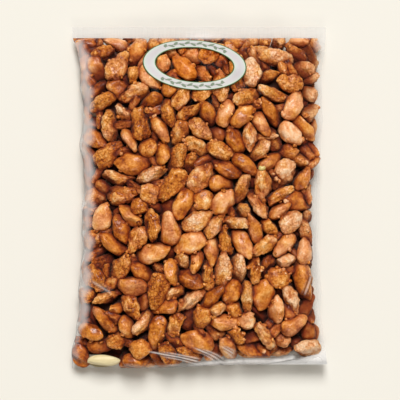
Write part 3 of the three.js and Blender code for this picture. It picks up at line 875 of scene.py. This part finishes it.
def sheet_places(rows, columns):
    """Places all over the bag, closer together towards its rim."""
    across = 0.5 - 0.5 * np.cos(np.pi * np.linspace(0, 1, columns))
    along = 0.5 - 0.5 * np.cos(np.pi * np.linspace(0, 1, rows))
    s, t = np.meshgrid(across, along)
    foot = foot_edge((s - 0.5) * FILM_WIDTH)
    y = foot + t * (SEAM_Y - foot)
    return left_edge(y) + s * (right_edge(y) - left_edge(y)), y


def sheet_mesh(name, points, quads, attributes):
    mesh = bpy.data.meshes.new(name)
    mesh.from_pydata((points * MM).tolist(), [], quads.tolist())
    mesh.polygons.foreach_set("use_smooth", np.ones(len(quads), bool))
    for label, values in attributes.items():
        attribute = mesh.attributes.new(label, "FLOAT", "POINT")
        attribute.data.foreach_set("value", values.astype(np.float32))
    mesh.update()
    piece = bpy.data.objects.new(name, mesh)
    bpy.context.collection.objects.link(piece)
    return piece


core_x, core_y = sheet_places(CORE_ROWS, CORE_COLUMNS)
core_x = core_x * (1 - 2 * CORE_TUCK / FILM_WIDTH)
core_y = core_y * (1 - 2 * CORE_TUCK / FILM_LENGTH) - CORE_DOWN
core_middle = edge_height(core_x, core_y)
core_open = np.maximum(1 - rim_level(core_x, core_y, CORE_TUCK), 0) ** 0.5
core_rise = np.maximum(front_height(core_x, core_y) - CORE_DEPTH - core_middle, CORE_LEAST)
core_drop = np.maximum(core_middle - back_height(core_x, core_y) - CORE_ABOVE_BACK, CORE_LEAST)
core_sheets = (core_middle + core_rise * core_open, core_middle - core_drop * core_open)
core_points = np.concatenate([np.stack([core_x, core_y, z], -1).reshape(-1, 3) for z in core_sheets])
core_quads = np.concatenate([grid_faces(CORE_ROWS, CORE_COLUMNS),
                             grid_faces(CORE_ROWS, CORE_COLUMNS, core_x.size, flip=True)])
core = sheet_mesh("heap_core", core_points, core_quads, {})
apply_modifier(core, "WELD", merge_threshold=WELD_GAP)
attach(core, "root")
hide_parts("bag")
core_shade, tree = new_finish("deep_heap_painted_shade")
lumps = add_noise(tree, add_node(tree, "TexCoord").outputs["Object"], scale=120.0, detail=3.0)
dark = add_ramp(tree, lumps, (0.3, srgb(44, 12, 2)), (0.7, srgb(92, 36, 8)))
lump_relief = add_node(tree, "Bump", {"Height": lumps, "Strength": 1.0, "Distance": 0.003})
body = add_node(tree, "BsdfPrincipled", {"Base Color": dark, "Roughness": 0.6,
                                         "Normal": lump_relief.outputs["Normal"]})
add_node(tree, "OutputMaterial", {"Surface": body.outputs[0]})
core.data.materials.append(core_shade)


# ---------------------------------------------------------------------------------------------------
# The bag's film: a clear front sheet drawn tight over the nuts, a back sheet on the table, and a header
# where both are sealed flat. The film is milky where it is pleated or sealed, and where it hangs empty.
# Its white also carries painted reflection along the left side and painted highlights on the pleats and by
# the seam.
# ---------------------------------------------------------------------------------------------------
FILM_COLUMNS, FILM_ROWS = 260, 340
BACK_COLUMNS, BACK_ROWS = 90, 120
HEADER_COLUMNS, HEADER_ROWS = 120, 12
FILM_GAP, BACK_GAP, FIN_GAP, FIN_REACH = 0.35, 0.05, 0.3, 5
SLACK_STEPS, SMOOTH_STEPS, EMPTY_STEPS, EMPTY_BELOW = 90, 3, 2, 6
SAG, FADE_START, HELD_RIM = 2.0, 0.75, 0.97
PLEAT_WIDTH, PLEAT_HEIGHT, PLEAT_NARROW, PLEAT_WIDENS, PLEAT_ENDS = 2.6, 0.5, 0.25, 0.6, (8, 4)
# Each pleat runs from one place to another, with the spacing of its folds and its strength.
PLEATS = (
    ((-42, -121), (1.5, -129.5), 2.0, 1),
    ((-6, -117.5), (21, -129.3), 2.0, 1),
    ((15, -116), (29, -124), 2.0, 0.8),
    # The two pleats at the sides are short creases whose white ridges are painted highlights.
    ((-88, -64), (-68, -76), 3.2, 0.45),
    ((91, -56), (83, -78), 3.2, 0.45),
)


def sampled(raster, x, y):
    """The raster's value at each place, blended between its cells."""
    column = np.clip((x - raster_x[0, 0]) / CELL, 0, raster.shape[1] - 1.001)
    row = np.clip((y - raster_y[0, 0]) / CELL, 0, raster.shape[0] - 1.001)
    c, r = column.astype(int), row.astype(int)
    u, v = column - c, row - r
    below = raster[r, c] * (1 - u) + raster[r, c + 1] * u
    above = raster[r + 1, c] * (1 - u) + raster[r + 1, c + 1] * u
    return below * (1 - v) + above * v


def blurred(raster):
    return sum(np.roll(raster, *way) for way in ((1, 0), (-1, 0), (1, 1), (-1, 1))) / 4


def nut_tops():
    """The highest point of any nut in each cell and its neighbours."""
    tops = np.zeros_like(raster_x)
    for piece in contents:
        x, y, z = coordinates(piece.data).T / MM
        column = np.round((x - raster_x[0, 0]) / CELL).astype(int)
        row = np.round((y - raster_y[0, 0]) / CELL).astype(int)
        inside = (column >= 0) & (column < tops.shape[1]) & (row >= 0) & (row < tops.shape[0])
        np.maximum.at(tops, (row[inside], column[inside]), z[inside])
    around = [np.roll(tops, (i, j), (0, 1)) for i in (-1, 0, 1) for j in (-1, 0, 1)]
    return np.max(around, axis=0)


def fin_at(x, y):
    """1 where the empty film on the right lies flat as a fin, and 0 where nuts hold it up."""
    return 1 - smooth_step(right_edge(y) - x, right_gap(y), right_gap(y) + FIN_REACH)


def tight_film():
    """The film's height in each cell once drawn tight over the nuts, and how far it has dropped."""
    full = front_height(raster_x, raster_y)
    flat = edge_height(raster_x, raster_y) + FIN_GAP
    form = full + (flat - full) * fin_at(raster_x, raster_y)
    floor = tops + FILM_GAP
    inside = rim_level(raster_x, raster_y, 0) < HELD_RIM
    film = np.where(inside, form - SAG, form)
    for _ in range(SLACK_STEPS):
        film = np.where(inside, np.maximum(blurred(film), floor), form)
    for _ in range(SMOOTH_STEPS):
        film = blurred(film)
    fade = 1 - smooth_step(rim_level(raster_x, raster_y, 0), FADE_START, HELD_RIM)
    return film, (full - film) * np.where(film > full, 1, fade)


def pleat(x, y, start, end, spacing, strength):
    """Along a pleat from start to end: how much the film is pleated here, and the phase of its folds."""
    start, end = np.array(start), np.array(end)
    length = np.linalg.norm(end - start)
    along = ((x - start[0]) * (end[0] - start[0]) + (y - start[1]) * (end[1] - start[1])) / length
    across = ((x - start[0]) * (end[1] - start[1]) - (y - start[1]) * (end[0] - start[0])) / length
    widening = smooth_step(along, 0, PLEAT_WIDENS * length)
    width = PLEAT_WIDTH * (PLEAT_NARROW + (1 - PLEAT_NARROW) * widening)
    ends = smooth_step(along, 0, PLEAT_ENDS[0]) * (1 - smooth_step(along, length - PLEAT_ENDS[1], length))
    return strength * ends * np.exp(-((across / width) ** 4)), 2 * np.pi * across / spacing


contents = [item for item in bpy.data.objects if item.name.startswith(("nut", "sugar", "blanched", "green"))]
tops = nut_tops()
film_raster, drop = tight_film()
empty = (tops < edge_height(raster_x, raster_y) - EMPTY_BELOW).astype(float)
for _ in range(EMPTY_STEPS):
    empty = blurred(empty)


def film_height(x, y):
    """How high the front film lies, with its pleats."""
    ripple = 0
    for line in PLEATS:
        amount, phase = pleat(x, y, *line)
        ripple = ripple + amount * PLEAT_HEIGHT * (1 + np.cos(phase))
    held = front_height(x, y) - sampled(drop, x, y) + ripple
    return held + (sampled(film_raster, x, y) - held) * fin_at(x, y)


SLACK_FROM, SLACK_FULL = SLANT_START - 10, SLANT_START + 25
FLAP_SHORT, FLAP_REACH, LIFT, LIFT_REACH = 3.8, 4, 8, 1.3


def slack_foot(x):
    """Along the foot: 0 where nuts fill it, and 1 where the film hangs empty."""
    return smooth_step(x, SLACK_FROM, SLACK_FULL)


def foot_flap(x, y):
    """How far the empty film reaches past the nuts at the foot."""
    spare = foot_edge(x) - FOOT_Y - FLAP_SHORT * smooth_step(x, SLANT_START, SLANT_END)
    return spare * np.exp(-(((y - foot_edge(x)) / FLAP_REACH) ** 2))


def foot_lift(x, y):
    """How far the edge of that empty film stands higher off the table than a full foot."""
    return smooth_step(x, SLANT_START, SLANT_END) * LIFT * np.exp(-(((y - foot_edge(x)) / LIFT_REACH) ** 2))


# How milky the film is in each part, and over what distances that comes and goes.
LEFT_PAINTED_REFLECTION, LEFT_FADE, LOW_SHARE, LOW_FADE = 0.46, (4.5, 11), 0.5, (15, 50)
LEFT_RIPPLES = ((1.3, 4.7, 0), (0.9, 2.1, 2))
FIN_EDGE, FIN_MILK, FIN_EDGE_FADE, FIN_FADE = 0.15, 0.25, (0, 5), (24, 16)
FOOT_MILK, FOOT_SLACK_MILK, FOOT_FADE = 0.1, 0.56, (2.0, 3.8)
HANGING_MILK, HANGING_FADE = 0.6, (5, 9)
CORNER_MILK, CORNER_ACROSS, CORNER_UP = 0.45, (90, 97), (112, 122)
SEAM_GLINT_MILK, SEAM_GLINT_X, SEAM_GLINT_WIDTH, SEAM_GLINT_HEIGHT = 0.7, 5, 15, 2.2
PLEAT_MILK, FOLD_PAINTED_HIGHLIGHT = 0.32, 0.36
EDGE_FADE, TIP_CLEAR, TIP_ACROSS, TIP_UP = (0, 2.4), 0.6, (88, 100), (3, 8)
LEFT_SHADE, LEFT_SHADE_FADE, FOLD_SHADE, FOLD_FADE = 0.4, (0.3, 1), 0.95, (-0.2, 0.7)


def veil_at(x, y):
    """How milky the film is, with painted reflection and highlights in it: 0 clear, 1 white."""
    above_foot = y - foot_edge(x)
    # On the left the film curves down to its edge, and the white there is painted reflection.
    low = LOW_SHARE + LOW_SHARE * smooth_step(above_foot, *LOW_FADE)
    inner = x - left_edge(y) + waves(y, LEFT_RIPPLES)
    left = LEFT_PAINTED_REFLECTION * (1 - smooth_step(inner, LEFT_FADE[0] * low, LEFT_FADE[1] * low)) * low
    inwards = right_edge(y) - x
    fin = sampled(empty, x, y) * smooth_step(inwards, *FIN_FADE)
    fin = fin * (FIN_EDGE + FIN_MILK * smooth_step(inwards, *FIN_EDGE_FADE))
    foot = (FOOT_MILK + FOOT_SLACK_MILK * slack_foot(x)) * (1 - smooth_step(above_foot, *FOOT_FADE))
    hanging = HANGING_MILK * slack_foot(x) * sampled(empty, x, y - foot_flap(x, y))
    hanging = hanging * (1 - smooth_step(above_foot, *HANGING_FADE))
    corner = CORNER_MILK * smooth_step(x, *CORNER_ACROSS) * smooth_step(y, *CORNER_UP)
    # Near the seam the film carries a painted highlight, as a white blob.
    seam_glint = SEAM_GLINT_MILK * np.exp(-(((x - SEAM_GLINT_X) / SEAM_GLINT_WIDTH) ** 2) - ((SEAM_Y - y) / SEAM_GLINT_HEIGHT) ** 2)
    # On the pleats, the white along the fold ridges is painted highlight over a little milkiness of the
    # folded film.
    pleat_milk_and_highlight = 0 * x
    for line in PLEATS:
        amount, phase = pleat(x, y, *line)
        pleat_milk_and_highlight = np.maximum(pleat_milk_and_highlight, amount * (PLEAT_MILK + FOLD_PAINTED_HIGHLIGHT * np.cos(phase)))
    tip = TIP_CLEAR * smooth_step(x, *TIP_ACROSS) * (1 - smooth_step(above_foot, *TIP_UP))
    edge = smooth_step(above_foot, *EDGE_FADE) * (1 - tip)
    return np.maximum.reduce([left, fin, foot, hanging, corner, seam_glint, pleat_milk_and_highlight]) * edge


def shade_at(x, y):
    """Painted shade: how much darker the film is made in the valleys of its pleats and along its left edge,
    where folds and the edge seen side-on look dark.
    """
    shade = LEFT_SHADE * (1 - smooth_step(x - left_edge(y), *LEFT_SHADE_FADE))
    for line in PLEATS:
        amount, phase = pleat(x, y, *line)
        shade = np.maximum(shade, FOLD_SHADE * amount * smooth_step(-np.cos(phase), *FOLD_FADE))
    return shade


sheet_x, sheet_y = sheet_places(FILM_ROWS, FILM_COLUMNS)
front_z = film_height(sheet_x, sheet_y) + foot_lift(sheet_x, sheet_y)
front_y = sheet_y - foot_flap(sheet_x, sheet_y)
front = np.stack([sheet_x + rim_wave(sheet_x, sheet_y), front_y, front_z], -1).reshape(-1, 3)

back_x, back_y = sheet_places(BACK_ROWS, BACK_COLUMNS)
back_z = back_height(back_x, back_y) + BACK_GAP + foot_lift(back_x, back_y)
back_end = back_y - foot_flap(back_x, back_y)
back = np.stack([back_x + rim_wave(back_x, back_y), back_end, back_z], -1).reshape(-1, 3)
BACK_MILK, WALL_MILK, WALL_MORE, WALL_ACROSS, WALL_FADE = 0.02, 0.45, 0.4, (20, 90), (3, 9)
foot_wall = (WALL_MILK + WALL_MORE * smooth_step(back_x, *WALL_ACROSS)) * slack_foot(back_x)
foot_wall = foot_wall * (1 - smooth_step(back_y - foot_edge(back_x), *WALL_FADE))

HEADER_WAVES = ((0.35, 11, 0), (0.25, 4.7, 1))
HEADER_MILK, LOW_HEADER_MILK, LOW_HEADER_FADE, HEADER_SHADE = 0.3, 0.15, (1, 5), 0.11
HEADER_GLINT_MILK, HEADER_GLINT_X, HEADER_GLINT_UP, HEADER_GLINT_WIDTH, HEADER_GLINT_HEIGHT = 0.5, 3, 1, 13, 3
header_x, header_y = np.meshgrid(np.linspace(-FILM_WIDTH / 2, FILM_WIDTH / 2, HEADER_COLUMNS),
                                 np.linspace(SEAM_Y, TOP_Y, HEADER_ROWS))
header_up = header_y - SEAM_Y
header_z = HEADER_RISE + waves(header_x, HEADER_WAVES) * smooth_step(header_y, SEAM_Y, TOP_Y)
header = np.stack([header_x, header_y, header_z], -1).reshape(-1, 3)
# A white blob low in the header is a painted highlight.
header_glint = ((header_x - HEADER_GLINT_X) / HEADER_GLINT_WIDTH) ** 2 + ((header_up - HEADER_GLINT_UP) / HEADER_GLINT_HEIGHT) ** 2
header_veil = HEADER_MILK + LOW_HEADER_MILK * (1 - smooth_step(header_up, *LOW_HEADER_FADE))
header_veil = header_veil + HEADER_GLINT_MILK * np.exp(-header_glint)

film_points = np.concatenate([front, back, header])
film_quads = np.concatenate([
    grid_faces(FILM_ROWS, FILM_COLUMNS),
    grid_faces(BACK_ROWS, BACK_COLUMNS, len(front), flip=True),
    grid_faces(HEADER_ROWS, HEADER_COLUMNS, len(front) + len(back)),
])
film_veil = [veil_at(sheet_x, sheet_y).ravel(), foot_wall.ravel() + BACK_MILK, header_veil.ravel()]
film_shade = [shade_at(sheet_x, sheet_y).ravel(), np.zeros(len(back)), np.full(len(header), HEADER_SHADE)]
# Inside the printed oval the film is tinted a light amber.
OVAL_MIDDLE, WINDOW_REACH, WINDOW_FADE = np.array([-3.5, 104.8]), np.array([33, 16.5]), (0.9, 1.1)
film_window = ((film_points[:, :2] - OVAL_MIDDLE) / WINDOW_REACH) ** 2
film_window = 1 - smooth_step(film_window.sum(1), *WINDOW_FADE)
film_window[len(front):] = 0
film = sheet_mesh("bag_film", film_points, film_quads, {
    "veil": np.concatenate(film_veil), "shade": np.concatenate(film_shade), "window": film_window})
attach(film, "root")
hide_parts("bag")

# A clear film lets light through, mirrors a little of it, and has a white haze where it is milky.
MIRROR_SHARE, THROUGH_SHARE, MILK_LEAST, MILK_STREAKS = 0.25, 0.08, 0.8, 0.4
MILK_WHITE = srgb(238, 236, 233)
clear, tree = new_finish("clear_film")
veil = add_node(tree, "Attribute", attribute_name="veil").outputs["Fac"]
where = add_node(tree, "TexCoord").outputs["Object"]
stretched = add_node(tree, "Mapping", {"Vector": where, "Scale": (900, 60, 60)}).outputs[0]
streak = add_noise(tree, stretched, scale=1.0, detail=3.0, roughness=0.6)
crinkle = add_noise(tree, where, scale=160.0, detail=3.0, roughness=0.6)
uneven = add_math(tree, "ADD", add_math(tree, "MULTIPLY", streak, MILK_STREAKS), MILK_LEAST)
milky = add_math(tree, "MULTIPLY", veil, uneven, clamp=True)
dent = add_node(tree, "Bump", {"Height": crinkle, "Strength": 0.3, "Distance": 0.0005}).outputs["Normal"]
outside = add_math(tree, "SUBTRACT", 1.0, add_node(tree, "NewGeometry").outputs["Backfacing"])
mirror = add_node(tree, "Fresnel", {"IOR": 1.11, "Normal": dent}).outputs[0]
mirror = add_math(tree, "MULTIPLY", add_math(tree, "MULTIPLY", mirror, outside), MIRROR_SHARE)
shade = add_node(tree, "Attribute", attribute_name="shade").outputs["Fac"]
tint = add_ramp(tree, shade, (0.0, (0.985, 0.985, 0.985, 1)), (1.0, (0.1, 0.07, 0.07, 1)))
window = add_node(tree, "Attribute", attribute_name="window").outputs["Fac"]
amber = add_ramp(tree, window, (0.0, (1, 1, 1, 1)), (1.0, (0.985, 0.89, 0.77, 1)))
see_through = add_node(tree, "BsdfTransparent", {"Color": add_mix(tree, 1, tint, amber, "MULTIPLY")})
gloss = add_node(tree, "BsdfAnisotropic", {"Color": (1, 1, 1, 1), "Roughness": 0.12, "Normal": dent})
# The haze is shaded as though it faced straight up, so its steep sides get the light of flat film: painted
# light.
upward = add_node(tree, "CombineXYZ", {"Z": 1.0}).outputs[0]
haze_front = add_node(tree, "BsdfDiffuse", {"Color": MILK_WHITE, "Normal": upward})
haze_back = add_node(tree, "BsdfTranslucent", {"Color": MILK_WHITE})
haze = add_node(tree, "MixShader", {0: THROUGH_SHARE, 1: haze_front.outputs[0], 2: haze_back.outputs[0]})
clean = add_node(tree, "MixShader", {0: mirror, 1: see_through.outputs[0], 2: gloss.outputs[0]})
whole_film = add_node(tree, "MixShader", {0: milky, 1: clean.outputs[0], 2: haze.outputs[0]})
add_node(tree, "OutputMaterial", {"Surface": whole_film.outputs[0]})
film.data.materials.append(clear)


# ---------------------------------------------------------------------------------------------------
# The printed oval band on the front: a ring of opaque ink on thin film that follows the film under it.
# It is pale with dark green borders, and has a sprig of small leaves at its top and at its foot.
# ---------------------------------------------------------------------------------------------------
BAND_TILT = -0.08
BAND_OUTER, BAND_INNER = np.array([41, 20.3]), np.array([30.6, 13.8])
BAND_STEPS, BAND_LANES = 240, 11
BAND_LIFT, BAND_PLY = 0.3, 0.15

turn, lane = np.meshgrid(np.linspace(0, 2 * np.pi, BAND_STEPS + 1), np.linspace(0, 1, BAND_LANES))
reach = BAND_INNER + (BAND_OUTER - BAND_INNER) * lane[..., None]
oval_x, oval_y = reach[..., 0] * np.cos(turn), reach[..., 1] * np.sin(turn)
band_x = OVAL_MIDDLE[0] + oval_x * math.cos(BAND_TILT) - oval_y * math.sin(BAND_TILT)
band_y = OVAL_MIDDLE[1] + oval_x * math.sin(BAND_TILT) + oval_y * math.cos(BAND_TILT)
band_z = film_height(band_x, band_y) + BAND_LIFT
band_points = np.stack([band_x, band_y, band_z], -1).reshape(-1, 3)
band_quads = grid_faces(BAND_LANES, BAND_STEPS + 1, flip=True)
from_left = 0.5 - np.abs(0.5 - turn.ravel() / (2 * np.pi))
band = sheet_mesh("oval_print", band_points, band_quads, {"turn": from_left, "lane": lane.ravel()})
apply_modifier(band, "WELD", merge_threshold=WELD_GAP)
apply_modifier(band, "SOLIDIFY", thickness=BAND_PLY * MM, offset=-1)
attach(band, "root")
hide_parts("oval_band")

# The leaves stand to either side of a thin stem, and lean along it.
BORDER, STEM, INK_SHARE = 0.42, 0.035, 0.75
LEAVES, LEAF_OUT, LEAF_ACROSS, LEAF_ALONG, LEAF_LEAN, SPRIG_REACH = 48, 0.2, 0.2, 0.36, 3.0, 0.72
GREEN_EDGE, GREEN_INK = srgb(196, 208, 190), srgb(74, 104, 60)
paint, tree = new_finish("band_print")
turn_at = add_node(tree, "Attribute", attribute_name="turn").outputs["Fac"]
lane_at = add_node(tree, "Attribute", attribute_name="lane").outputs["Fac"]
outwards = add_math(tree, "SUBTRACT", lane_at, 0.5)
middle = add_math(tree, "ABSOLUTE", outwards)
border = add_math(tree, "GREATER_THAN", middle, BORDER)
ground = add_ramp(tree, middle, (0.0, srgb(199, 192, 193)), (0.25, srgb(199, 198, 197)),
                  (BORDER, GREEN_EDGE), (0.5, GREEN_EDGE))
step = add_math(tree, "MULTIPLY", turn_at, LEAVES)
leaf = add_math(tree, "SUBTRACT", add_math(tree, "FRACT", step), 0.5)
odd = add_math(tree, "SUBTRACT", add_math(tree, "MODULO", add_math(tree, "FLOOR", step), 2.0), 0.5)
rise = add_math(tree, "SUBTRACT", outwards, add_math(tree, "MULTIPLY", odd, LEAF_OUT))
lean = add_math(tree, "MULTIPLY", add_math(tree, "MULTIPLY", rise, odd), LEAF_LEAN)
lean = add_math(tree, "ADD", leaf, lean)
across = add_math(tree, "POWER", add_math(tree, "DIVIDE", rise, LEAF_ACROSS), 2.0)
along = add_math(tree, "POWER", add_math(tree, "DIVIDE", lean, LEAF_ALONG), 2.0)
leaf = add_math(tree, "LESS_THAN", add_math(tree, "ADD", across, along), 1.0)
leaf = add_math(tree, "MAXIMUM", leaf, add_math(tree, "LESS_THAN", middle, STEM))
arc = add_math(tree, "SINE", add_math(tree, "MULTIPLY", turn_at, 2 * math.pi))
arc = add_math(tree, "ABSOLUTE", arc)
leaf = add_math(tree, "MULTIPLY", leaf, add_math(tree, "GREATER_THAN", arc, SPRIG_REACH))
printed = add_math(tree, "MAXIMUM", border, add_math(tree, "MULTIPLY", leaf, INK_SHARE))
ink = add_node(tree, "BsdfPrincipled", {"Base Color": add_mix(tree, printed, ground, GREEN_INK),
                                        "Roughness": 0.5, "Specular IOR Level": 0.2})
add_node(tree, "OutputMaterial", {"Surface": ink.outputs[0]})
band.data.materials.append(paint)


# ---------------------------------------------------------------------------------------------------
# The pale table that the bag lies on, with three softboxes over it, a little warm light from all
# round, and the camera straight above.
# ---------------------------------------------------------------------------------------------------
TABLE_SIZE, TABLE_DROP = 6, 0.0004
bpy.ops.object.select_all(action="DESELECT")
bpy.ops.mesh.primitive_plane_add(size=TABLE_SIZE, location=(0, 0, -TABLE_DROP))
table = bpy.context.object
table.name = "table"
cream = bpy.data.materials.new("cream_table")
cream.use_nodes = True
table_skin = cream.node_tree.nodes["Principled BSDF"]
table_skin.inputs["Base Color"].default_value = srgb(229, 226, 217)
table_skin.inputs["Roughness"].default_value = 0.9
table_skin.inputs["Specular IOR Level"].default_value = 0.1
table.data.materials.append(cream)


def area_light(name, place, width, height, power, colour=(1, 1, 1)):
    """A softbox that faces the middle of the bag."""
    lamp = bpy.data.lights.new(name, "AREA")
    lamp.shape = "RECTANGLE"
    lamp.size, lamp.size_y = width, height
    lamp.energy = power
    lamp.color = colour
    box = bpy.data.objects.new(name, lamp)
    bpy.context.collection.objects.link(box)
    box.location = place
    aim = box.location.normalized()
    box.rotation_euler = aim.to_track_quat("Z", "Y").to_euler()


area_light("key", (0.1, 5.0, 7.4), width=2.8, height=3.6, power=655)
area_light("fill", (1.3, 3.2, 6.8), width=2.6, height=2.6, power=120)
area_light("front", (0.3, -4.2, 4.4), width=2.2, height=1.6, power=80, colour=(1, 0.95, 0.88))

world = bpy.data.worlds.new("studio")
world.use_nodes = True
glow = world.node_tree.nodes["Background"].inputs
glow["Color"].default_value = (1, 0.94, 0.85, 1)
glow["Strength"].default_value = 0.2
bpy.context.scene.world = world
world.cycles_visibility.glossy = False
bpy.context.scene.view_settings.view_transform = "Standard"

PICTURE_PIXELS, PIXEL = 400, 0.8 * MM
PIXELS_ASIDE, PIXELS_BELOW_TOP = 1.0, 173
CAMERA_HEIGHT, FOCUS_HEIGHT, SENSOR = 1.5, 0.011, 36
camera_data = bpy.data.cameras.new("camera")
camera = bpy.data.objects.new("camera", camera_data)
bpy.context.collection.objects.link(camera)
camera.location = (PIXELS_ASIDE * PIXEL, TOP_Y * MM - PIXELS_BELOW_TOP * PIXEL, CAMERA_HEIGHT)
camera_data.sensor_width = SENSOR
camera_data.lens = SENSOR * (CAMERA_HEIGHT - FOCUS_HEIGHT) / (PICTURE_PIXELS * PIXEL)
bpy.context.scene.camera = camera
